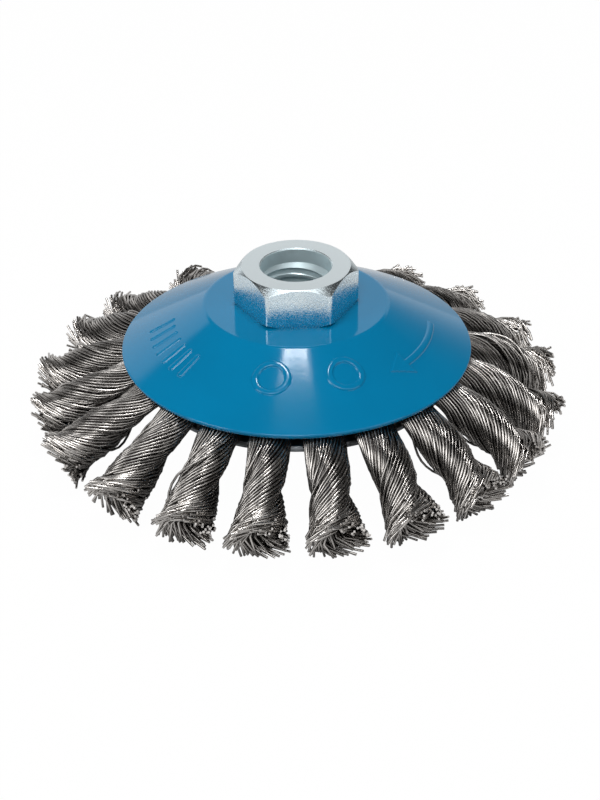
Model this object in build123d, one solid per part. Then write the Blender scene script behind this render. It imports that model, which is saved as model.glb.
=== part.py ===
from build123d import *
import os
from math import atan, cos, hypot, pi, radians, sin, tan

# Knotted bevel wire brush for a grinder spindle, in millimetres, +Z up along the spindle axis.
# It stands on its knots at z = 0, with the seat of the hub nut on top.
# Angles around the axis are counted from the front, -Y, positive towards +X.

# Hub nut
nut_across_flats = 22.0
nut_height = 8.3
nut_turn = 2.5
nut_edge_fillet = 1.1
nut_top_face_margin = 0.5
nut_bottom_face_margin = 0.6
nut_bottom_chamfer_angle = 30.0
nut_blank_margin = 1.0
thread_minor_radius = 5.92
relief_bore_radius = 7.05
relief_bore_depth = 3.1
collar_radius = 8.3
flare_width = 1.7
flare_height = 1.3
flare_fillet = 0.5

# Cover, the painted dish on top
cover_wall = 1.2
cover_boss_radius = 18.6
cover_rim_radius = 35.6
cover_slope = 29.2
cover_shoulder_fillet = 1.6
cover_edge_fillet = 0.4

# Raised marks pressed into the cover
mark_height = 0.3
ring_mark_radius = 3.6
ring_mark_band = 0.9
ring_mark_angles = (-11.3, 22.3)
ring_mark_setback = 6.1
bar_width = 0.9
bar_length = 5.6
bar_count = 7
bar_first_angle = -88.0
bar_step_angle = 6.2
arrow_band = 1.0
arrow_from_angle = 50.0
arrow_to_angle = 88.0
arrow_head_width = 5.2
arrow_head_length = 5.0

# Wire holder, the punched disc that the knots are looped through
holder_wall = 1.4
holder_setback = 4.8
hole_margin = 3.8
hole_clearance = 0.23

# Backing plate
plate_wall = 1.0
plate_overhang = 0.2
plate_flat_margin = 1.2
plate_edge_fillet = 0.35

# Knots. A share is the part of the way from a knot's neck to its tip.
knot_count = 20
first_knot_angle = 9.0
leg_thickness = 1.75
leg_width = 4.2
leg_web = 2.2
leg_overlap = 1.0
neck_clearance = 0.8
neck_gap = 1.65
neck_length = 5.0
knot_length = 18.2
knot_slope = 29.0
neck_share = 0.3
neck_waist = 0.85
shoulder_share = 0.5
shoulder_fill = 0.88
body_share = 0.75
body_radius = 4.7
tip_radius = 5.55
knot_twist = 258.0
twist_tightening = 1.7
strand_flattening = 0.15
strand_groove_depth = 0.16
flute_depth = 0.07
groove_onset = 3.0
knot_sides = 16
knot_stations = 12
station_crowding = 0.8

# Rings of the splayed tip: their part of the tip's radius and how far they stand out of it
lip_share = 0.95
lip_reach = 0.4
funnel_share = 0.5
funnel_depth = 0.9
funnel_bottom = 1.6

# Sideways leans, with the numbers of the knots that have been bent so
leaning_knots = {
    -6.5: (4, 6),
    -5.0: (1, 2, 3, 16),
    -2.5: (0, 8, 13),
    -1.0: (7, 11, 15),
    2.5: (5, 14, 19),
    6.5: (17,),
    8.5: (12, 18),
}

fit_clearance = 0.15

# Radii that follow from those sizes
nut_top_face_radius = nut_across_flats / 2 + nut_top_face_margin
nut_bottom_face_radius = nut_across_flats / 2 + nut_bottom_face_margin
flare_radius = collar_radius + flare_width
mark_circle_radius = (cover_boss_radius + cover_rim_radius) / 2
ring_mark_place = cover_boss_radius + ring_mark_setback
holder_radius = cover_rim_radius - holder_setback
hole_circle_radius = holder_radius - hole_margin
hole_radius = hypot(leg_web, leg_width) / 2 + hole_clearance
plate_radius = holder_radius + plate_overhang
plate_flat_radius = flare_radius + plate_flat_margin
neck_start_radius = holder_radius + neck_clearance
neck_half_width = pi * neck_start_radius / knot_count - neck_gap / 2

# Heights are counted from the boss of the cover, on which the nut sits, until all is lifted
slope = radians(cover_slope)

# Depths of the stack, square to the cover's cone, from the cover's outer face
upper_leg_depth = cover_wall + fit_clearance
holder_depth = upper_leg_depth + leg_thickness + fit_clearance
lower_leg_depth = holder_depth + holder_wall + fit_clearance
stack_depth = lower_leg_depth + leg_thickness + fit_clearance
neck_depth = holder_depth + holder_wall / 2
neck_half_height = stack_depth - fit_clearance - neck_depth

# The plates touch face to face around the collar
cover_under = -cover_wall
holder_under = cover_under - holder_wall
plate_under = holder_under - plate_wall
collar_clearance = 0.05


def cone_z(radius, depth):
    """Height, at a radius, of the cone that lies a depth under the cover's outer face."""
    return -(radius - cover_boss_radius) * tan(slope) - depth / cos(slope)


def cone_radius(height, depth):
    """Radius at which that cone has this height."""
    return cover_boss_radius - (height + depth / cos(slope)) / tan(slope)


def turned(corners):
    """Solid of revolution about the axis, from the corners of its half section."""
    return revolve(make_face(Plane.XZ * Polyline(*corners, close=True)), Axis.Z)


def fan_out(part, angle):
    """A part made towards +X, turned to an angle that is counted from the front."""
    return part.rotate(Axis.Z, angle - 90.0)


def circles_at(part, radius, height):
    """Round edges of a part with this radius and height."""
    found = part.edges().filter_by(GeomType.CIRCLE)
    found = found.filter_by(lambda edge: abs(edge.radius - radius) < 0.01)
    return found.filter_by(lambda edge: abs(edge.center().Z - height) < 0.01)


def make_hub_nut():
    """Hexagon with turned corners, a collar through the plates and a flared end."""
    hexagon = RegularPolygon(nut_across_flats / 2, 6, major_radius=False, rotation=nut_turn)
    body = extrude(hexagon, nut_height)
    body = fillet(body.edges().filter_by(Axis.Z), nut_edge_fillet)
    outer = nut_across_flats / 2 / cos(radians(30.0)) + nut_blank_margin
    top_drop = outer - nut_top_face_radius
    bottom_rise = (outer - nut_bottom_face_radius) * tan(radians(nut_bottom_chamfer_angle))
    body &= turned([
        (0, 0),
        (nut_bottom_face_radius, 0),
        (outer, bottom_rise),
        (outer, nut_height - top_drop),
        (nut_top_face_radius, nut_height),
        (0, nut_height),
    ])
    collar = turned([
        (0, 0),
        (collar_radius, 0),
        (collar_radius, plate_under),
        (flare_radius, plate_under),
        (flare_radius, plate_under - flare_height),
        (0, plate_under - flare_height),
    ])
    collar = fillet(circles_at(collar, flare_radius, plate_under - flare_height), flare_fillet)
    relief_floor = nut_height - relief_bore_depth
    lead_in = relief_bore_radius - thread_minor_radius
    bore = turned([
        (0, nut_height),
        (relief_bore_radius, nut_height),
        (relief_bore_radius, relief_floor),
        (thread_minor_radius, relief_floor - lead_in),
        (thread_minor_radius, plate_under - flare_height),
        (0, plate_under - flare_height),
    ])
    return body + collar - bore


def make_plain_cover():
    """Pressed dish: a flat boss, a rounded shoulder and a cone down to the rim."""
    rim_x = cover_rim_radius
    rim_z = cone_z(rim_x, 0)
    under_x = rim_x - cover_wall * sin(slope)
    under_z = rim_z - cover_wall * cos(slope)
    inner_x = cone_radius(cover_under, cover_wall)
    hole = collar_radius + collar_clearance
    dish = turned([
        (hole, 0),
        (cover_boss_radius, 0),
        (rim_x, rim_z),
        (under_x, under_z),
        (inner_x, cover_under),
        (hole, cover_under),
    ])
    dish = fillet(circles_at(dish, cover_boss_radius, 0), cover_shoulder_fillet)
    edges = circles_at(dish, rim_x, rim_z) + circles_at(dish, under_x, under_z)
    return fillet(edges, cover_edge_fillet)


def mark_plane(radius, angle):
    """Plane on the cover's cone: its X runs down the slope, its Z stands off the paint."""
    turn = radians(angle - 90.0)
    down = (cos(turn) * cos(slope), sin(turn) * cos(slope), -sin(slope))
    off = (cos(turn) * sin(slope), sin(turn) * sin(slope), cos(slope))
    origin = (radius * cos(turn), radius * sin(turn), cone_z(radius, 0))
    return Plane(origin=origin, x_dir=down, z_dir=off)


def raised(outline, radius, angle):
    """A mark with this outline, from half way into the wall to its height above it."""
    place = mark_plane(radius, angle).offset(-cover_wall / 2)
    return extrude(place * outline, cover_wall / 2 + mark_height)


def make_arrow():
    """Curved arrow that shows which way the brush turns."""
    low = mark_circle_radius - arrow_band / 2
    high = mark_circle_radius + arrow_band / 2
    sunk = cover_wall / 2 / cos(slope)
    proud = mark_height / cos(slope)
    section = Plane.XZ * Polyline(
        (low, cone_z(low, 0) - sunk),
        (high, cone_z(high, 0) - sunk),
        (high, cone_z(high, 0) + proud),
        (low, cone_z(low, 0) + proud),
        close=True,
    )
    shaft = revolve(make_face(section), Axis.Z, arrow_to_angle - arrow_from_angle)
    shaft = fan_out(shaft, arrow_from_angle)
    half = arrow_head_width / 2
    head = make_face(Polyline((-half, 0), (half, 0), (0, -arrow_head_length), close=True))
    return shaft + raised(head, mark_circle_radius, arrow_from_angle)


def make_cover():
    """The dish with its raised rings, bars and arrow."""
    cover = make_plain_cover()
    ring = Circle(ring_mark_radius) - Circle(ring_mark_radius - ring_mark_band)
    for angle in ring_mark_angles:
        cover += raised(ring, ring_mark_place, angle)
    for number in range(bar_count):
        angle = bar_first_angle + number * bar_step_angle
        bar = SlotOverall(bar_length, bar_width)
        cover += raised(bar, mark_circle_radius, angle)
    return cover + make_arrow()


def make_holder():
    """Dished disc with a round hole for each knot."""
    edge_z = cone_z(holder_radius, holder_depth)
    hole = collar_radius + collar_clearance
    disc = turned([
        (hole, cover_under),
        (cone_radius(cover_under, holder_depth), cover_under),
        (holder_radius, edge_z),
        (holder_radius, edge_z - holder_wall / cos(slope)),
        (cone_radius(holder_under, holder_depth + holder_wall), holder_under),
        (hole, holder_under),
    ])
    drill = Cylinder(hole_radius, 6 * holder_wall)
    drill = Pos(hole_circle_radius, 0, cone_z(hole_circle_radius, neck_depth)) * drill
    for number in range(knot_count):
        disc -= fan_out(drill, knot_angle(number))
    return disc


def make_plate():
    """Dished plate that closes the stack from below, clear of the legs of the knots."""
    leg_start = hole_circle_radius - leg_web / 2
    leg_under = cone_z(leg_start, stack_depth)
    plate_slope = atan((holder_under - leg_under) / (leg_start - plate_flat_radius))
    drop = (plate_radius - plate_flat_radius) * tan(plate_slope)
    wall = plate_wall / cos(plate_slope)
    inner_shift = (wall - plate_wall) / tan(plate_slope)
    hole = collar_radius + collar_clearance
    plate = turned([
        (hole, holder_under),
        (plate_flat_radius, holder_under),
        (plate_radius, holder_under - drop),
        (plate_radius, holder_under - drop - wall),
        (plate_flat_radius - inner_shift, plate_under),
        (hole, plate_under),
    ])
    edges = circles_at(plate, plate_radius, holder_under - drop)
    edges += circles_at(plate, plate_radius, holder_under - drop - wall)
    return fillet(edges, plate_edge_fillet)


def knot_angle(number):
    """Angle of a knot from the front."""
    return first_knot_angle + number * 360.0 / knot_count


def between(share, stops):
    """Value at a share of the way, straight between (share, value) stops."""
    for (low, first), (high, second) in zip(stops, stops[1:]):
        if share <= high:
            return first + (second - first) * (share - low) / (high - low)
    return stops[-1][1]


def knot_axis(share, lean):
    """Point and direction of a knot's middle line, from its neck to its tip."""
    fall = radians(knot_slope)
    turn = radians(lean)
    neck = Vector(neck_start_radius, 0, cone_z(neck_start_radius, neck_depth))
    bend = neck + Vector(cos(slope), 0, -sin(slope)) * neck_length
    tip = bend + Vector(cos(fall) * cos(turn), cos(fall) * sin(turn), -sin(fall)) * knot_length
    point = neck * (1 - share) ** 2 + bend * (2 * share * (1 - share)) + tip * share**2
    along = (bend - neck) * (1 - share) + (tip - bend) * share
    return point, along.normalized()


def side_depth(side):
    """How deep a corner lies: in the groove of the two strands, in a flute or on a ridge."""
    if (side - knot_sides // 4) % (knot_sides // 2) == 0:
        return strand_groove_depth
    return flute_depth if side % 2 == 0 else 0.0


def knot_ring(share, lean, scale=1.0, push=0.0):
    """Corners around a knot: a flat neck that turns round, with strands and wires twisted."""
    point, along = knot_axis(share, lean)
    across = Vector(0, 0, 1).cross(along).normalized()
    up = along.cross(across)
    half_width = between(share, [
        (0, neck_half_width),
        (neck_share, neck_half_width),
        (body_share, body_radius),
        (1, tip_radius),
    ])
    half_height = between(share, [
        (0, neck_half_height),
        (neck_share, neck_waist * neck_half_height),
        (shoulder_share, shoulder_fill * body_radius),
        (body_share, body_radius),
        (1, tip_radius),
    ])
    flattened = between(share, [(0, 0), (neck_share, 1), (body_share, 1), (1, 0)])
    run = (knot_axis(share, 0)[0].X - neck_start_radius) / knot_reach
    twist = radians(knot_twist) * run**twist_tightening
    corners = []
    for side in range(knot_sides):
        start = 2 * pi * side / knot_sides
        reach = 1 - side_depth(side) * min(1, groove_onset * run)
        reach -= strand_flattening * flattened * sin(start) ** 2
        turn = start + twist
        shift = across * (half_width * cos(turn)) + up * (half_height * sin(turn))
        corners.append(point + along * push + shift * (scale * reach))
    return corners


def knot_rings(lean):
    """Rings of corners from the neck to the tip, then over its lip into the funnel."""
    steps = knot_stations - 1
    rings = [knot_ring((step / steps) ** station_crowding, lean) for step in range(steps + 1)]
    rings.append(knot_ring(1, lean, lip_share, lip_reach))
    rings.append(knot_ring(1, lean, funnel_share, -funnel_depth))
    return rings


def make_bundle(lean):
    """Closed solid with flat three-cornered faces over the rings of a twisted bundle."""
    rings = knot_rings(lean)
    corners = []
    for inner, outer in zip(rings, rings[1:]):
        for side in range(knot_sides):
            after = (side + 1) % knot_sides
            corners.append((inner[side], inner[after], outer[side]))
            corners.append((inner[after], outer[after], outer[side]))
    neck_middle = knot_axis(0, lean)[0]
    point, along = knot_axis(1, lean)
    tip_middle = point - along * funnel_bottom
    for side in range(knot_sides):
        after = (side + 1) % knot_sides
        corners.append((neck_middle, rings[0][after], rings[0][side]))
        corners.append((tip_middle, rings[-1][side], rings[-1][after]))
    faces = [Face(Wire.make_polygon(points, close=True)) for points in corners]
    return Solid(Shell(faces))


def make_legs():
    """The two flattened legs of a knot and the wires between them, through the holder."""
    inner = hole_circle_radius - leg_web / 2
    web = hole_circle_radius + leg_web / 2
    outer = neck_start_radius + leg_overlap
    above = holder_depth - fit_clearance
    below = stack_depth - fit_clearance
    outline = [
        (inner, upper_leg_depth),
        (outer, upper_leg_depth),
        (outer, above),
        (web, above),
        (web, lower_leg_depth),
        (outer, lower_leg_depth),
        (outer, below),
        (inner, below),
    ]
    corners = [(radius, cone_z(radius, depth)) for radius, depth in outline]
    side_view = make_face(Plane.XZ * Polyline(*corners, close=True))
    return extrude(side_view, leg_width / 2, both=True)


def make_knot(lean):
    """A twisted bundle with the legs that hold it in the stack."""
    return make_bundle(lean) + make_legs()


def knot_lean(number):
    """Sideways lean of a knot."""
    for lean, numbers in leaning_knots.items():
        if number in numbers:
            return lean
    return 0.0


knot_reach = neck_length * cos(slope) + knot_length * cos(radians(knot_slope))
leans = {knot_lean(number) for number in range(knot_count)}

# The brush stands on the lowest corners of its knots
lift = -min(corner.Z for lean in leans for ring in knot_rings(lean) for corner in ring)

pieces = {
    "hub_nut": make_hub_nut(),
    "cover": make_cover(),
    "wire_holder": make_holder(),
    "backing_plate": make_plate(),
}
knots = {lean: make_knot(lean) for lean in leans}
for number in range(knot_count):
    pieces[f"knot_{number + 1:02d}"] = fan_out(knots[knot_lean(number)], knot_angle(number))

os.makedirs("parts", exist_ok=True)
for name, piece in pieces.items():
    export_step(Pos(0, 0, lift) * piece, f"parts/{name}.step")
print("lift", round(lift, 3))
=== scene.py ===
import random
from math import cos, exp, hypot, pi, radians, sin, tan, tau

import bmesh
import bpy
from mathutils import Matrix, Vector


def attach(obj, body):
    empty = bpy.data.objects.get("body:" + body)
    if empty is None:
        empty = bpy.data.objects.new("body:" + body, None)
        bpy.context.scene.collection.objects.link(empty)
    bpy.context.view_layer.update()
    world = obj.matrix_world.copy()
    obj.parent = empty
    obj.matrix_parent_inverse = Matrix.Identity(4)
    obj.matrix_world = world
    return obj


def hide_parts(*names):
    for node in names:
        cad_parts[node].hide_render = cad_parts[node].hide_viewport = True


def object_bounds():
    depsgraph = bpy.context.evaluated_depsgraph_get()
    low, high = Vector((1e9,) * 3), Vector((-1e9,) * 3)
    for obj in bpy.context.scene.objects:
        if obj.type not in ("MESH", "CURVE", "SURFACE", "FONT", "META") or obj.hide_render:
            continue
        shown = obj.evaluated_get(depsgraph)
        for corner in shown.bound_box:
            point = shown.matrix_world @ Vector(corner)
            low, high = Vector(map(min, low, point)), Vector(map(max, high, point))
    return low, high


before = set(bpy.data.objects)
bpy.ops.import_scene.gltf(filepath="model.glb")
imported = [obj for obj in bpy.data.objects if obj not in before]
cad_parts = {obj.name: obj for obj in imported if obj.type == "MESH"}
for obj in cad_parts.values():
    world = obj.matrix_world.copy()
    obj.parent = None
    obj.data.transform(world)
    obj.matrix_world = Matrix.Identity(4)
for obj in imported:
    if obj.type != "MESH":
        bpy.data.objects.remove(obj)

# Sizes are in millimetres, and MM turns them into Blender's metres
MM = 0.001
weld = 0.001 * MM
cad_low, cad_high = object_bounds()
bpy.ops.object.select_all(action="DESELECT")


# Hub nut: one turned and threaded piece of zinc plated steel. A hexagon with turned corners
# stands on the cover, a collar goes down through the plates, and its end is flared out
# under them, which holds the whole stack. The bore has a smooth relief above the thread.
nut_seat = 27.826
nut_height = 8.3
nut_across_flats = 22.0
nut_turn = 2.5
nut_edge_radius = 1.1
nut_top_face_radius = 10.9
nut_bottom_face_radius = 11.6
relief_bore_radius = 7.05
relief_bore_depth = 3.1
mouth_chamfer = 0.25
thread_minor_radius = 5.92
thread_major_radius = 7.0
thread_pitch = 2.0
collar_radius = 8.3
collar_hole_radius = collar_radius + 0.05
flare_radius = 10.0
flare_edge_radius = 0.5
flare_mouth_chamfer = 0.7
flare_top = nut_seat - 3.6
flare_bottom = nut_seat - 4.9
nut_top = nut_seat + nut_height
spare = 1.0
tap_core_radius = thread_minor_radius - 0.02
tap_turns = 9

# One pitch of the tap: the share of the pitch at each corner, and whether it cuts there
tap_profile = ((0, False), (0.22, False), (0.53, True), (0.66, True), (0.97, False), (1, False))


def draw_section(name, corners, closed=True):
    """A new piece in edit mode: a chain of edges through (radius, height) corners, in mm."""
    bpy.ops.object.select_all(action="DESELECT")
    bpy.ops.mesh.primitive_plane_add(size=MM)
    bpy.context.object.name = name
    bpy.ops.object.mode_set(mode="EDIT")
    bpy.ops.mesh.select_mode(type="VERT")
    bpy.ops.mesh.select_all(action="SELECT")
    bpy.ops.mesh.merge(type="CENTER")
    points = [Vector((radius, 0, height)) * MM for radius, height in corners]
    bpy.ops.transform.translate(value=points[0])
    ends = points[1:] + points[:1] if closed else points[1:]
    for start, end in zip(points, ends):
        bpy.ops.mesh.extrude_region_move(TRANSFORM_OT_translate={"value": end - start})


def close_up():
    """Joins the doubles of the piece in edit mode and turns its faces outwards."""
    bpy.ops.mesh.select_all(action="SELECT")
    bpy.ops.mesh.remove_doubles(threshold=weld)
    bpy.ops.mesh.normals_make_consistent(inside=False)


def turned(name, corners, steps=128):
    """Turns a closed half section about the spindle axis."""
    draw_section(name, corners)
    bpy.ops.mesh.select_all(action="SELECT")
    bpy.ops.mesh.remove_doubles(threshold=weld)
    bpy.ops.mesh.spin(steps=steps, angle=tau, center=(0, 0, 0), axis=(0, 0, 1))
    close_up()
    bpy.ops.object.mode_set(mode="OBJECT")
    return bpy.context.object


def make_active(piece):
    """Selects one piece alone."""
    bpy.ops.object.select_all(action="DESELECT")
    bpy.context.view_layer.objects.active = piece
    piece.select_set(True)


def round_edges(piece, width, segments, chosen):
    """Bevels the edges whose middle and direction satisfy chosen."""
    make_active(piece)
    bpy.ops.object.mode_set(mode="EDIT")
    bpy.ops.mesh.select_mode(type="EDGE")
    bpy.ops.mesh.select_all(action="DESELECT")
    work = bmesh.from_edit_mesh(piece.data)
    for edge in work.edges:
        start, end = (vert.co / MM for vert in edge.verts)
        edge.select = chosen((start + end) / 2, (end - start).normalized())
    bmesh.update_edit_mesh(piece.data)
    bpy.ops.mesh.bevel(offset=width * MM, segments=segments, affect="EDGES")
    bpy.ops.object.mode_set(mode="OBJECT")


def cut(piece, cutter, operation):
    """Applies a boolean with a cutter, which is then deleted."""
    make_active(piece)
    modifier = piece.modifiers.new("cut", "BOOLEAN")
    modifier.operation = operation
    modifier.solver = "EXACT"
    modifier.object = cutter
    bpy.ops.object.modifier_apply(modifier=modifier.name)
    bpy.data.objects.remove(cutter)


def smooth(piece):
    """Smooth shading with creases over 32 degrees, and with the flats kept flat."""
    make_active(piece)
    bpy.ops.object.shade_smooth_by_angle(angle=radians(32))
    modifier = piece.modifiers.new("weights", "WEIGHTED_NORMAL")
    modifier.keep_sharp = True
    bpy.ops.object.modifier_apply(modifier=modifier.name)


def on_ring(radius, height):
    """Chooses the edges of a circle with this radius and height."""
    return lambda middle, way: (
        abs(hypot(middle.x, middle.y) - radius) < 0.05 and abs(middle.z - height) < 0.02
    )


nut_corner_radius = nut_across_flats / 2 / cos(radians(30))
bpy.ops.mesh.primitive_cylinder_add(
    vertices=6,
    radius=nut_corner_radius * MM,
    depth=nut_height * MM,
    location=(0, 0, (nut_seat + nut_height / 2) * MM),
    rotation=(0, 0, radians(nut_turn - 30)),
)
hub_nut = bpy.context.object
hub_nut.name = "hub_nut_threaded"
bpy.ops.object.transform_apply(location=True, rotation=True, scale=True)
round_edges(hub_nut, nut_edge_radius * tan(radians(30)), 5, lambda middle, way: abs(way.z) > 0.9)
blank_radius = nut_corner_radius + spare
nut_blank = turned("nut_blank", [
    (0, nut_seat - spare),
    (nut_bottom_face_radius, nut_seat - spare),
    (nut_bottom_face_radius, nut_seat),
    (blank_radius, nut_seat + (blank_radius - nut_bottom_face_radius) * tan(radians(30))),
    (blank_radius, nut_top - (blank_radius - nut_top_face_radius)),
    (nut_top_face_radius, nut_top),
    (nut_top_face_radius, nut_top + spare),
    (0, nut_top + spare),
])
cut(hub_nut, nut_blank, "INTERSECT")
nut_collar = turned("nut_collar", [
    (0, nut_seat + spare),
    (collar_radius, nut_seat + spare),
    (collar_radius, flare_top),
    (flare_radius, flare_top),
    (flare_radius, flare_bottom),
    (0, flare_bottom),
])
round_edges(nut_collar, flare_edge_radius, 5, on_ring(flare_radius, flare_bottom))
cut(hub_nut, nut_collar, "UNION")
thread_top = nut_top - relief_bore_depth - (relief_bore_radius - thread_minor_radius)
nut_bore = turned("nut_bore", [
    (0, nut_top + spare),
    (relief_bore_radius + mouth_chamfer, nut_top + spare),
    (relief_bore_radius + mouth_chamfer, nut_top),
    (relief_bore_radius, nut_top - mouth_chamfer),
    (relief_bore_radius, nut_top - relief_bore_depth),
    (thread_minor_radius, thread_top),
    (thread_minor_radius, flare_bottom + flare_mouth_chamfer),
    (thread_minor_radius + flare_mouth_chamfer + 0.2, flare_bottom - 0.2),
    (0, flare_bottom - 0.2),
], 96)
cut(hub_nut, nut_bore, "DIFFERENCE")


def make_tap():
    """Threaded rod that cuts the thread: one pitch of its flank, screwed and trimmed."""
    start = flare_bottom - 2.5 * thread_pitch
    draw_section("tap", [
        (thread_major_radius if cuts else tap_core_radius, start + share * thread_pitch)
        for share, cuts in tap_profile
    ], closed=False)
    bpy.ops.object.mode_set(mode="OBJECT")
    tap = bpy.context.object
    winding = tap.modifiers.new("winding", "SCREW")
    winding.axis = "Z"
    winding.angle = tau
    winding.iterations = tap_turns
    winding.screw_offset = thread_pitch * MM
    winding.steps = winding.render_steps = 40
    winding.use_merge_vertices = True
    winding.merge_threshold = weld
    bpy.ops.object.modifier_apply(modifier=winding.name)
    bpy.ops.object.mode_set(mode="EDIT")
    low_end, high_end = flare_bottom - 1.017, thread_top + 0.913
    for height, way in ((low_end, -1), (high_end, 1)):
        bpy.ops.mesh.select_all(action="SELECT")
        bpy.ops.mesh.bisect(
            plane_co=(0, 0, height * MM),
            plane_no=(0, 0, way),
            use_fill=True,
            clear_outer=True,
            threshold=0.0001 * MM,
        )
    close_up()
    bpy.ops.object.mode_set(mode="OBJECT")
    return tap


cut(hub_nut, make_tap(), "DIFFERENCE")
bpy.ops.object.mode_set(mode="EDIT")
close_up()
bpy.ops.mesh.dissolve_degenerate(threshold=weld)
bpy.ops.object.mode_set(mode="OBJECT")
smooth(hub_nut)


class Value:
    """An output of a shader node. Sums on it add Math nodes to its finish."""

    def __init__(self, finish, socket):
        self.finish = finish
        self.socket = socket

    def maths(self, operation, *values):
        """A Math node on this value and others, which may be numbers."""
        numbered = dict(enumerate(values))
        return self.finish.node("ShaderNodeMath", {"operation": operation}, numbered)

    def __add__(self, other):
        return self.maths("ADD", self, other)

    def __rsub__(self, other):
        return self.maths("SUBTRACT", other, self)

    def __mul__(self, other):
        return self.maths("MULTIPLY", self, other)

    def __pow__(self, other):
        return self.maths("POWER", self, other)

    def at_least(self, other):
        return self.maths("MAXIMUM", self, other)

    __radd__ = __add__
    __rmul__ = __mul__


class Finish:
    """A material, or the world, whose nodes are all made by one method."""

    def __init__(self, name, is_world=False):
        self.shading = (bpy.data.worlds if is_world else bpy.data.materials).new(name)
        self.shading.use_nodes = True
        self.nodes = self.shading.node_tree.nodes
        self.links = self.shading.node_tree.links
        self.nodes.clear()
        self.place = self.node("ShaderNodeTexCoord", output="Generated" if is_world else "Object")

    def node(self, kind, settings=None, values=None, output=0):
        """Makes a node: its settings first, then the values or links of its sockets."""
        made = self.nodes.new(kind)
        for name, setting in (settings or {}).items():
            setattr(made, name, setting)
        for name, value in (values or {}).items():
            if isinstance(value, Value):
                self.links.new(value.socket, made.inputs[name])
            elif isinstance(value, tuple):
                made.inputs[name].default_value = (*value, 1)
            else:
                made.inputs[name].default_value = value
        return Value(self, made.outputs[output]) if len(made.outputs) else None

    def part(self, axis, vector=None):
        """One coordinate of a vector, or of the place on the piece."""
        return self.node("ShaderNodeSeparateXYZ", None, {0: vector or self.place}, axis)

    def from_axis(self):
        """Distance from the spindle axis, in metres."""
        across, along = self.part("X"), self.part("Y")
        return (across * across + along * along) ** 0.5

    def from_origin(self):
        """Distance from the point on the floor under the middle of the brush, in metres."""
        return self.node("ShaderNodeVectorMath", {"operation": "LENGTH"}, {0: self.place}, "Value")

    def noise(self, scale, detail, where=None):
        return self.node("ShaderNodeTexNoise", None, {
            "Vector": where or self.place, "Scale": scale, "Detail": detail,
        })

    def between(self, low, high, value):
        """0 below low, 1 above high, smooth between them."""
        return self.node("ShaderNodeMapRange", {"interpolation_type": "SMOOTHSTEP"}, {
            "Value": value, "From Min": low, "From Max": high,
        })

    def blend(self, mask, first, second):
        """The first colour where the mask is 0 and the second where it is 1."""
        return self.node("ShaderNodeMix", {"data_type": "RGBA"}, {0: mask, 6: first, 7: second}, 2)

    def bumps(self, height, depth, strength):
        """A normal from a height between 0 and 1, which stands for depth millimetres."""
        return self.node("ShaderNodeBump", None, {
            "Height": height, "Distance": depth * MM, "Strength": strength,
        })

    def coat(self, **sockets):
        """Ends the finish in a Principled shader."""
        values = {name.replace("_", " "): value for name, value in sockets.items()}
        shader = self.node("ShaderNodeBsdfPrincipled", None, values)
        self.node("ShaderNodeOutputMaterial", None, {"Surface": shader})

    def give(self, piece):
        """Makes this the only material of a piece."""
        piece.data.materials.clear()
        piece.data.materials.append(self.shading)


zinc = Finish("zinc_plated_steel")
radius = zinc.from_axis()
normal = zinc.node("ShaderNodeNewGeometry", None, None, "Normal")
top_face = zinc.between(0.9, 0.99, zinc.part("Z", normal))
bore_edge = (relief_bore_radius + 0.05) * MM
bore_lip = (relief_bore_radius + 0.3) * MM
# Painted light: the bore wall gets a greyer, less metallic colour that stands for the pale light
# seen in the bore
in_bore = 1 - zinc.between(bore_edge, bore_lip, radius)
turning_place = zinc.node("ShaderNodeCombineXYZ", None, {
    "X": radius * 3200, "Y": zinc.part("Z") * 900,
})
turning = zinc.noise(1.0, 3.0, turning_place)
pits = zinc.between(0.44, 0.62, zinc.noise(3400, 3.0))
grain = zinc.noise(9000, 2.0)
clouds = zinc.between(0.35, 0.7, zinc.noise(160, 3.0))
zinc_tone = zinc.blend(clouds, (0.75, 0.84, 0.87), (0.66, 0.76, 0.81))
# The up-facing top is given a lighter colour: partly its own turned finish, partly a painted
# highlight
zinc_turned_top_and_highlight = zinc.blend(top_face, zinc_tone, (0.87, 0.96, 0.99))
rough_flats = (1 - top_face) * (1 - in_bore)
relief = turning * top_face + pits * rough_flats * 0.8 + grain * 0.12
zinc.coat(
    Base_Color=zinc.blend(in_bore, zinc_turned_top_and_highlight, (0.52, 0.63, 0.66)),
    Metallic=1 - in_bore * 0.6,
    Roughness=0.16 + pits * rough_flats * 0.12 + top_face * 0.14 + in_bore * 0.14,
    Normal=zinc.bumps(relief, 0.015, 0.45),
)
zinc.give(hub_nut)
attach(hub_nut, "root")
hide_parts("hub_nut")


# Cover: a dish pressed from sheet steel and enamelled blue, with a flat boss under the nut.
# Plain generic marks are pressed up out of its slope: two rings, a row of bars and an arrow
# that shows which way the brush turns.
cover_wall = 1.2
cover_boss_radius = 18.6
cover_rim_radius = 35.6
cover_slope = radians(29.2)
cover_shoulder_radius = 1.6
cover_edge_radius = 0.4
mark_circle_radius = 27.1
ring_mark_place = 24.7
ring_mark_angles = (-11.3, 22.3)
ring_mark_radius = 3.6
ring_mark_band = 0.9
bar_count = 7
bar_first_angle = -88.0
bar_step_angle = 6.2
bar_half_width = 0.45
bar_half_length = 2.35
arrow_angle = 69.0
arrow_span = 38.0
arrow_band = 1.0
arrow_head_angle = 49.0
arrow_head_radius = 2.9
mark_height = 0.3
mark_skirt = 0.35
mark_root = 0.2
mark_sink = 0.02

# Steps of a mark's skirt, from its foot up: share of the width and share of the height
skirt_steps = ((0.25, 0.10), (0.25, 0.36), (0.35, 0.33), (0.35, 0.15), (0.4, 0.06))


def cone_z(radius, depth):
    """Height of the cone that lies a depth under the cover's outer face, in mm."""
    return nut_seat - (radius - cover_boss_radius) * tan(cover_slope) - depth / cos(cover_slope)


def cone_radius(height, depth):
    """Radius at which that cone has this height, in mm."""
    return cover_boss_radius - (height - nut_seat + depth / cos(cover_slope)) / tan(cover_slope)


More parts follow.
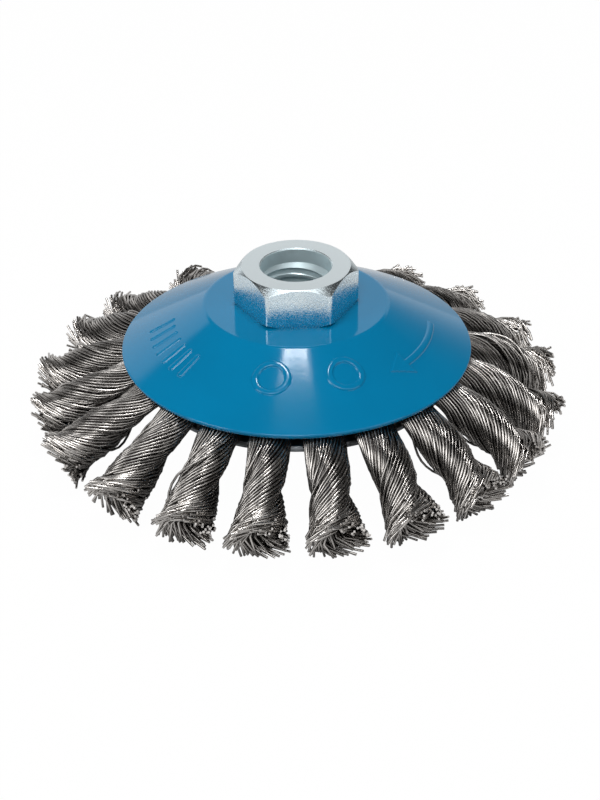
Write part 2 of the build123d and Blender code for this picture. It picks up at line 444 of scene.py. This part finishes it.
under_radius = cover_rim_radius - cover_wall * sin(cover_slope)
under_height = cone_z(cover_rim_radius, 0) - cover_wall * cos(cover_slope)
cover = turned("cover_painted", [
    (collar_hole_radius, nut_seat),
    (cover_boss_radius, nut_seat),
    (cover_rim_radius, cone_z(cover_rim_radius, 0)),
    (under_radius, under_height),
    (cone_radius(nut_seat - cover_wall, cover_wall), nut_seat - cover_wall),
    (collar_hole_radius, nut_seat - cover_wall),
], 192)
shoulder_width = cover_shoulder_radius * tan(cover_slope / 2)
round_edges(cover, shoulder_width, 8, on_ring(cover_boss_radius, nut_seat))
rim_height = cone_z(cover_rim_radius, 0)
round_edges(cover, cover_edge_radius, 4, on_ring(cover_rim_radius, rim_height))
round_edges(cover, cover_edge_radius, 4, on_ring(under_radius, under_height))


def press_up(mark, angle, place=mark_circle_radius):
    """Insets the flat mark in edit mode to a raised shape with a soft skirt and a root in the
    wall, then lays it on the cover's cone at an angle from the front. Its X runs round, its
    Y up the slope."""
    bpy.ops.mesh.extrude_region_move(TRANSFORM_OT_translate={"value": (0, 0, mark_root * MM)})
    for share, climb in skirt_steps:
        bpy.ops.mesh.inset(thickness=mark_skirt * share * MM, depth=0)
        bpy.ops.transform.translate(value=(0, 0, climb * mark_height * MM))
    close_up()
    bpy.ops.object.mode_set(mode="OBJECT")
    sunk = mark_root + mark_sink
    for vert in mark.data.vertices:
        x, y, z = vert.co / MM
        turn = radians(angle - 90) + x / place
        out = place - y * cos(cover_slope)
        rise = z - sunk
        out += rise * sin(cover_slope)
        base = cone_z(out - rise * sin(cover_slope), 0) + rise * cos(cover_slope)
        vert.co = Vector((out * cos(turn), out * sin(turn), base)) * MM


marks = []
for angle in ring_mark_angles:
    outside = ring_mark_radius + mark_skirt
    inside = ring_mark_radius - ring_mark_band - mark_skirt
    bpy.ops.mesh.primitive_circle_add(vertices=72, radius=outside * MM, fill_type="NOTHING")
    ring = bpy.context.object
    bpy.ops.object.mode_set(mode="EDIT")
    bpy.ops.mesh.select_mode(type="VERT")
    bpy.ops.mesh.select_all(action="SELECT")
    bpy.ops.mesh.extrude_edges_move(TRANSFORM_OT_translate={"value": (0, 0, 0)})
    shrink = inside / outside
    bpy.ops.transform.resize(value=(shrink, shrink, 1), center_override=(0, 0, 0))
    bpy.ops.mesh.select_all(action="SELECT")
    bpy.ops.mesh.normals_make_consistent(inside=False)
    press_up(ring, angle, ring_mark_place)
    marks.append(ring)
for number in range(bar_count):
    end_radius = bar_half_width + mark_skirt
    bpy.ops.mesh.primitive_circle_add(vertices=24, radius=end_radius * MM, fill_type="NGON")
    bar = bpy.context.object
    bpy.ops.object.mode_set(mode="EDIT")
    work = bmesh.from_edit_mesh(bar.data)
    for vert in work.verts:
        vert.co.y += bar_half_length * MM * (1 if vert.co.y > 1e-7 else -1)
    bmesh.update_edit_mesh(bar.data)
    press_up(bar, bar_first_angle + bar_step_angle * number)
    marks.append(bar)
bpy.ops.mesh.primitive_grid_add(x_subdivisions=32, y_subdivisions=1, size=1)
arrow = bpy.context.object
arrow_length = radians(arrow_span) * mark_circle_radius + 2 * mark_skirt
arrow_width = arrow_band + 2 * mark_skirt
bpy.ops.object.mode_set(mode="EDIT")
bpy.ops.transform.resize(value=(arrow_length * MM, arrow_width * MM, 1))
press_up(arrow, arrow_angle)
marks.append(arrow)
head_radius = arrow_head_radius + 2 * mark_skirt
bpy.ops.mesh.primitive_circle_add(vertices=3, radius=head_radius * MM, fill_type="NGON")
head = bpy.context.object
bpy.ops.object.mode_set(mode="EDIT")
bpy.ops.transform.rotate(value=radians(-90), orient_axis="Z", center_override=(0, 0, 0))
press_up(head, arrow_head_angle)
marks.append(head)
bpy.ops.object.select_all(action="DESELECT")
for mark in marks:
    mark.select_set(True)
cover.select_set(True)
bpy.context.view_layer.objects.active = cover
bpy.ops.object.join()
smooth(cover)

blue = Finish("blue_enamel")
peel = blue.noise(700, 2.0)
dust = blue.noise(5000, 2.0)
shade = blue.between(0.3, 0.7, blue.noise(60, 2.0))
blue.coat(
    Base_Color=blue.blend(shade, (0.0, 0.172, 0.350), (0.0, 0.184, 0.372)),
    Roughness=0.075 + dust * 0.03,
    IOR=1.42,
    Normal=blue.bumps(peel + dust * 0.1, 0.02, 0.2),
)
blue.give(cover)
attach(cover, "root")
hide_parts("cover")


# Wire holder: a punched dish of dark oiled sheet steel between the cover and the backing
# plate. Each knot is looped through one of its holes. It stays the CAD node.
oiled = Finish("oiled_steel")
blotches = oiled.between(0.35, 0.7, oiled.noise(300, 3.0))
oiled.coat(
    Base_Color=oiled.blend(blotches, (0.035, 0.034, 0.036), (0.065, 0.06, 0.055)),
    Metallic=0.7,
    Roughness=0.5 + blotches * 0.15,
    Normal=oiled.bumps(oiled.noise(3000, 3.0), 0.02, 0.5),
)
oiled.give(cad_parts["wire_holder"])


# Backing plate: a dished disc of zinc plated sheet steel. It closes the stack from below,
# and the flared end of the hub nut holds it there.
holder_wall = 1.4
holder_under = nut_seat - cover_wall - holder_wall
plate_wall = 1.0
plate_radius = 31.0
plate_flat_radius = 11.2
plate_edge_radius = 0.3
leg_start = 25.9
stack_depth = 6.7
plate_fall = (holder_under - cone_z(leg_start, stack_depth)) / (leg_start - plate_flat_radius)
plate_edge = holder_under - (plate_radius - plate_flat_radius) * plate_fall
plate_rise = plate_wall * hypot(1, plate_fall)
plate_inner = plate_flat_radius - (plate_rise - plate_wall) / plate_fall
plate = turned("backing_plate_zinc", [
    (collar_hole_radius, holder_under),
    (plate_flat_radius, holder_under),
    (plate_radius, plate_edge),
    (plate_radius, plate_edge - plate_rise),
    (plate_inner, holder_under - plate_wall),
    (collar_hole_radius, holder_under - plate_wall),
], 160)
for edge_height in (plate_edge, plate_edge - plate_rise):
    round_edges(plate, plate_edge_radius, 4, on_ring(plate_radius, edge_height))
smooth(plate)

plated = Finish("plated_sheet")
rings_place = plated.node("ShaderNodeCombineXYZ", None, {"X": plated.from_axis() * 2200})
rings = plated.noise(1.0, 3.0, rings_place)
stains = plated.between(0.4, 0.75, plated.noise(180, 4.0))
plated.coat(
    Base_Color=plated.blend(stains, (0.42, 0.45, 0.48), (0.30, 0.33, 0.36)),
    Metallic=1.0,
    Roughness=0.28 + stains * 0.15,
    Normal=plated.bumps(rings * 0.5 + plated.noise(2600, 3.0) * 0.5, 0.02, 0.5),
)
plated.give(plate)
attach(plate, "root")
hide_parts("backing_plate")


# Knots: each is a bundle of drawn carbon steel wires of half a millimetre, folded through a
# hole of the holder, with its two legs twisted into a hard right-hand rope. At the tip the
# wires spring open in a swirl of bright cut ends.
knot_count = 20
first_knot_angle = 9.0
leaning_knots = {
    -6.5: (4, 6),
    -5.0: (1, 2, 3, 16),
    -2.5: (0, 8, 13),
    -1.0: (7, 11, 15),
    2.5: (5, 14, 19),
    6.5: (17,),
    8.5: (12, 18),
}
neck_start_radius = 31.6
neck_depth = 3.95
neck_half_width = 4.14
neck_half_height = 2.6
neck_length = 5.0
knot_length = 18.2
knot_slope = radians(29.0)
body_radius = 4.7
tip_radius = 5.55
knot_twist = radians(258)
twist_tightening = 1.7
strand_flattening = 0.15
strand_groove_depth = 0.16
strand_groove_width = 0.4
groove_onset = 3
least_half_size = 0.1
wire_radius = 0.25
wire_clearance = wire_radius * 1.1
wire_sides = 6
swirl = 0.35
upper_leg_depth = 2.2
lower_leg_depth = 5.7
leg_half_height = 0.62
knot_reach = neck_length * cos(cover_slope) + knot_length * cos(knot_slope)

# Each ring of wires: how many, its depth under the outer ring, the radius at which its cut
# ends lie, the shares at which they spring open and end, and the points along a wire
wire_rings = (
    (32, 0.0, 6.0, 0.85, 0.97, 13),
    (28, 0.55, 5.9, 0.86, 0.98, 10),
    (22, 1.25, 5.75, 0.87, 0.985, 8),
    (18, 2.1, 5.65, 0.88, 0.99, 8),
    (14, 2.95, 5.55, 0.89, 0.995, 8),
    (9, 3.75, 5.35, 0.90, 1.0, 8),
)
outer_count = wire_rings[0][0]

# Places of a wire in its leg: the radius, and the half width of the leg there
leg_places = ((27.4, 2.0), (30.9, 2.7))

# Half width, half height and flattening of a knot's section at shares of the way along it
section_widths = (
    (0, neck_half_width),
    (0.3, neck_half_width),
    (0.75, body_radius),
    (1, tip_radius),
)
section_heights = (
    (0, neck_half_height),
    (0.17, neck_half_height),
    (0.55, 0.9 * body_radius),
    (0.75, body_radius),
    (1, tip_radius),
)
section_flattening = ((0, 0), (0.3, 1), (0.75, 1), (1, 0))


def stepped(share, stops):
    """Value at a share of the way, smooth between (share, value) stops."""
    for (low, first), (high, second) in zip(stops, stops[1:]):
        if share <= high:
            part = (share - low) / (high - low)
            return first + (second - first) * part * part * (3 - 2 * part)
    return stops[-1][1]


def knot_axis(share, lean):
    """Point and direction of a knot's middle line, which goes straight on past its tip."""
    neck = Vector((neck_start_radius, 0, cone_z(neck_start_radius, neck_depth)))
    bend = neck + Vector((cos(cover_slope), 0, -sin(cover_slope))) * neck_length
    way = Vector((cos(knot_slope) * cos(lean), cos(knot_slope) * sin(lean), -sin(knot_slope)))
    tip = bend + way * knot_length
    if share > 1:
        return tip + way * (share - 1) * 2 * knot_length, way
    point = neck * (1 - share) ** 2 + bend * (2 * share * (1 - share)) + tip * share**2
    along = (bend - neck) * (1 - share) + (tip - bend) * share
    return point, along.normalized()


def wire_point(share, lean, twist_share, turn, depth, reach, splay, end_radius):
    """Point of a wire that started at an angle in the section, at a depth under its outside.
    Its splay goes from 0 to 1 where it springs open to its end radius."""
    point, along = knot_axis(share, lean)
    across = Vector((0, 0, 1)).cross(along).normalized()
    up = along.cross(across)
    half_width = stepped(share, section_widths) - wire_radius - depth
    half_height = stepped(share, section_heights) - wire_radius - depth
    run = (knot_axis(min(share, 1), 0)[0].x - neck_start_radius) / knot_reach
    twist = twist_share * knot_twist * (run + max(0, share - 1)) ** twist_tightening
    flattened = stepped(share, section_flattening)
    grooved = min(1, groove_onset * run) * exp(-((cos(turn) / strand_groove_width) ** 2))
    reach *= 1 - strand_groove_depth * grooved - strand_flattening * flattened * sin(turn) ** 2
    spread = splay * max(0, end_radius - reach * (tip_radius - wire_radius - depth))
    turn += twist + swirl * splay
    across *= max(least_half_size, half_width) * reach + spread
    up *= max(least_half_size, half_height) * reach + spread
    return point + across * cos(turn) + up * sin(turn)


def leg_point(radius, turn, reach, width):
    """Point of a wire in the leg of its knot, above or below the holder."""
    side = sin(turn)
    middle = upper_leg_depth if side > 0 else lower_leg_depth
    depth = middle - leg_half_height * (2 * abs(side) * reach - 1)
    return Vector((radius, -width * cos(turn) * reach, cone_z(radius, depth)))


def make_knot(number):
    """One knot as a curve object with a spline for each wire, made a mesh."""
    chance = random.Random(number + 1)
    lean = radians(sum(angle for angle, knots in leaning_knots.items() if number in knots))
    turned_by = radians(first_knot_angle + number * 360 / knot_count - 90)
    place = Matrix.Rotation(turned_by, 3, "Z")
    curve = bpy.data.curves.new(f"knot_{number + 1:02d}_wires", "CURVE")
    curve.dimensions = "3D"
    curve.bevel_depth = wire_radius * MM
    curve.bevel_resolution = 1
    curve.use_fill_caps = True
    tints_and_inner_shade, faces_of = [], []
    loose = chance.sample(range(outer_count), 2)
    twist_share = chance.uniform(0.93, 1.08)
    for ring, (count, depth, end_radius, opens, ends, stations) in enumerate(wire_rings):
        for wire in range(count):
            turn = tau * (wire + chance.uniform(-0.05, 0.05) + 0.5 * ring) / count
            end = ends + chance.uniform(-0.03, 0.03)
            if ring == 0 and chance.random() < 0.35:
                end -= chance.uniform(0.02, 0.09)
            stand = chance.uniform(0.99, 1.01)
            spread_to = end_radius * chance.uniform(0.86, 1.05)
            lift = chance.uniform(0.10, 0.28) if ring == 0 and wire in loose else 0
            first = 0 if ring < 2 else 0.45
            points = []
            if ring < 2:
                for out, width in leg_places:
                    points.append(leg_point(out, turn, 1 - depth / body_radius, width))
            wave = chance.uniform(0, tau)
            stops = 2 * stations if lift else stations
            for station in range(stops):
                # The points lie closer together at both ends of a wire
                part = station / (stops - 1)
                part = 0.45 * part + 0.55 * part * part * (3 - 2 * part)
                share = first + (end - first) * part
                bow = 1 + lift * max(0, sin(pi * (share - 0.3) / 0.6)) if 0.3 < share < 0.9 else 1
                splay = min(1.1, max(0, (share - opens) / (ends - opens))) ** 1.9
                at_turn = turn + 0.015 * sin(wave + 5 * share)
                shift = 1 + 0.008 * sin(wave * 3 + 8 * share)
                reach = stand * bow * shift
                points.append(wire_point(
                    share, lean, twist_share, at_turn, depth, reach, splay, spread_to,
                ))
            spline = curve.splines.new("POLY")
            spline.points.add(len(points) - 1)
            for target, point in zip(spline.points, points):
                at = place @ point
                at.z = max(at.z, wire_clearance)
                for axis in (0, 1):
                    low = cad_low[axis] / MM + wire_clearance
                    high = cad_high[axis] / MM - wire_clearance
                    at[axis] = min(max(at[axis], low), high)
                target.co = (*(at * MM), 1)
            # Outer ring wires get a random tint; the inner rings get darker tints, painted shade
            # in the gaps between the outer wires
            tints_and_inner_shade.append(chance.uniform(0.1, 0.85) if ring == 0 else chance.uniform(0.6, 1.0))
            faces_of.append(wire_sides * (len(points) - 1))
    knot = bpy.data.objects.new(curve.name, curve)
    bpy.context.scene.collection.objects.link(knot)
    make_active(knot)
    bpy.ops.object.convert(target="MESH")
    knot = bpy.context.object
    mesh = knot.data
    # The mesh has the caps of all wires first, last wire first, and then their sides
    cap_faces = wire_sides - 2
    cap_tints_and_shade = [tint_and_inner_shade for tint_and_inner_shade in reversed(tints_and_inner_shade) for _ in range(2 * cap_faces)]
    side_tints_and_shade = [tint_and_inner_shade for tint_and_inner_shade, faces in zip(tints_and_inner_shade, faces_of) for _ in range(faces)]
    tint_and_inner_shade = mesh.attributes.new("wire_tint_and_shade", "FLOAT", "FACE")
    tint_and_inner_shade.data.foreach_set("value", cap_tints_and_shade + side_tints_and_shade)
    cap = mesh.attributes.new("wire_cap", "FLOAT", "FACE")
    cap.data.foreach_set("value", [1.0] * len(cap_tints_and_shade) + [0.0] * len(side_tints_and_shade))
    cut_end = mesh.attributes.new("cut_end", "FLOAT", "FACE")
    cap_ends = ([1.0] * cap_faces + [0.0] * cap_faces) * len(tints_and_inner_shade)
    cut_end.data.foreach_set("value", cap_ends + [0.0] * len(side_tints_and_shade))
    bpy.ops.object.mode_set(mode="EDIT")
    close_up()
    bpy.ops.mesh.faces_shade_smooth()
    work = bmesh.from_edit_mesh(mesh)
    cap = work.faces.layers.float["wire_cap"]
    for face in work.faces:
        if face[cap]:
            face.smooth = False
            for edge in face.edges:
                edge.smooth = False
    bmesh.update_edit_mesh(mesh)
    bpy.ops.object.mode_set(mode="OBJECT")
    return knot


drawn = Finish("drawn_steel_wire")
# Each wire's tint: random on the outer ring, painted shade on the inner rings
tint_and_inner_shade = drawn.node("ShaderNodeAttribute", {"attribute_name": "wire_tint_and_shade"}, None, "Fac")
cut_end = drawn.node("ShaderNodeAttribute", {"attribute_name": "cut_end"}, None, "Fac")
soot = drawn.between(0.3, 0.75, drawn.noise(500, 3.0))
scratches = drawn.noise(6000, 2.0)
# Painted light: the wires are made lighter at their tips, from about 48 mm out from the middle
painted_tip_light = drawn.between(0.0475, 0.0505, drawn.from_origin())
# The tone mixes each wire's tint, painted shade on the inner rings, random soot and the painted
# tip light
tone = (tint_and_inner_shade * 0.8 + soot * 0.2) * (1 - painted_tip_light * 0.7)
dark_wire = drawn.blend(tone, (0.60, 0.575, 0.55), (0.07, 0.064, 0.06))
drawn.coat(
    Base_Color=drawn.blend(cut_end, dark_wire, (0.62, 0.60, 0.58)),
    Metallic=1.0,
    Roughness=0.2 + soot * 0.1 + cut_end * 0.4,
    Normal=drawn.bumps(scratches, 0.01, 0.15),
)
for number in range(knot_count):
    knot = make_knot(number)
    drawn.give(knot)
    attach(knot, "root")
    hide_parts(f"knot_{number + 1:02d}")


# Stage: a pale floor that keeps a soft shadow, a white surround and soft studio lamps.
bpy.ops.mesh.primitive_plane_add(size=6, location=(0, 0, -0.0001))
floor = bpy.context.object
floor.name = "floor"
pale = Finish("pale_floor")
grain = pale.noise(3.0, 2.0)
plain_floor = pale.blend(grain, (0.86, 0.86, 0.86), (0.88, 0.88, 0.88))
camera_ray = pale.node("ShaderNodeLightPath", None, None, "Is Camera Ray")
glossy_ray = pale.node("ShaderNodeLightPath", None, None, "Is Glossy Ray")
# Painted shade: reflections see the floor's colour darkened toward black, which near the brush
# stands for the shade under it
cloth = pale.node("ShaderNodeBsdfDiffuse", None, {
    "Color": pale.blend(glossy_ray * 0.6, plain_floor, (0.05, 0.05, 0.05)),
})
behind = pale.between(-0.02, 0.12, pale.part("Y"))
clear = pale.between(0.052, 0.060, pale.from_origin())
glow = pale.node("ShaderNodeEmission", None, {
    "Color": (1.0, 1.0, 1.0), "Strength": camera_ray + glossy_ray * (1 - behind * 0.42),
})
both = pale.node("ShaderNodeMixShader", None, {
    0: camera_ray * 0.985 + glossy_ray * clear * 0.9, 1: cloth, 2: glow,
})
pale.node("ShaderNodeOutputMaterial", None, {"Surface": both})
pale.give(floor)

# Mirrored surfaces see a lit backdrop, the bright upper front of the room and dark between
studio = Finish("studio", is_world=True)
bpy.context.scene.world = studio.shading
across, along, up = (studio.part(axis) for axis in "XYZ")
left_end = studio.between(-0.8, -0.55, across)
right_end = 1 - studio.between(0.27, 0.62, across)
upper_end = 1 - studio.between(0.49, 0.57, up)
backdrop = left_end * right_end * upper_end * 0.85 * studio.between(0.0, 0.25, along)
front = (1 - studio.between(-0.4, -0.12, along)) * 1.5 * studio.between(0.6, 0.72, up)


def white_light(strength):
    """White surroundings of this strength."""
    return studio.node("ShaderNodeBackground", None, {
        "Color": (1.0, 1.0, 1.0), "Strength": strength,
    })


for_glossy = studio.node("ShaderNodeMixShader", None, {
    0: studio.node("ShaderNodeLightPath", None, None, "Is Glossy Ray"),
    1: white_light(0.38),
    2: white_light(backdrop.at_least(front) + 0.06),
})
for_camera = studio.node("ShaderNodeMixShader", None, {
    0: studio.node("ShaderNodeLightPath", None, None, "Is Camera Ray"),
    1: for_glossy,
    2: white_light(1.0),
})
studio.node("ShaderNodeOutputWorld", None, {"Surface": for_camera})


def lamp(name, place, aim, size, power):
    """Square soft lamp that looks at a point."""
    bpy.ops.object.light_add(type="AREA", location=place)
    made = bpy.context.object
    made.name = name
    made.data.size = size
    made.data.energy = power
    made.rotation_mode = "QUATERNION"
    made.rotation_quaternion = (Vector(aim) - Vector(place)).to_track_quat("-Z", "Y")


lamp("key_lamp", (-0.005, 0.041, 0.52), (-0.005, 0.041, 0.0), 0.1, 0.75)
lamp("soft_lamp", (-0.005, 0.050, 0.53), (-0.005, 0.050, 0.0), 0.13, 0.25)
lamp("front_lamp", (-0.06, -0.40, 0.50), (0.0, 0.0, 0.01), 0.25, 0.8)
lamp("left_lamp", (-0.5, -0.3, 0.35), (0, 0, 0.01), 0.25, 1.0)
lamp("right_lamp", (0.5, -0.3, 0.35), (0, 0, 0.01), 0.25, 0.35)

# Camera: long lens, a little above thirty degrees over the floor, in front of the brush
rise = radians(31.57)
roll = radians(-0.45)
camera_distance = 0.4
level = Vector((1, 0, 0))
back = Vector((0, -cos(rise), sin(rise)))
upward = Vector((0, sin(rise), cos(rise)))
right = level * cos(roll) + upward * sin(roll)
above = upward * cos(roll) - level * sin(roll)
target = Vector((0.60, 0, 4.525)) * MM
bpy.ops.object.camera_add()
camera = bpy.context.object
camera.matrix_world = Matrix([
    (right[axis], above[axis], back[axis], target[axis] + camera_distance * back[axis])
    for axis in range(3)
] + [(0, 0, 0, 1)])
camera.data.lens = 86.78
camera.data.clip_start = 0.01
bpy.context.scene.camera = camera
bpy.context.scene.view_settings.view_transform = "Standard"
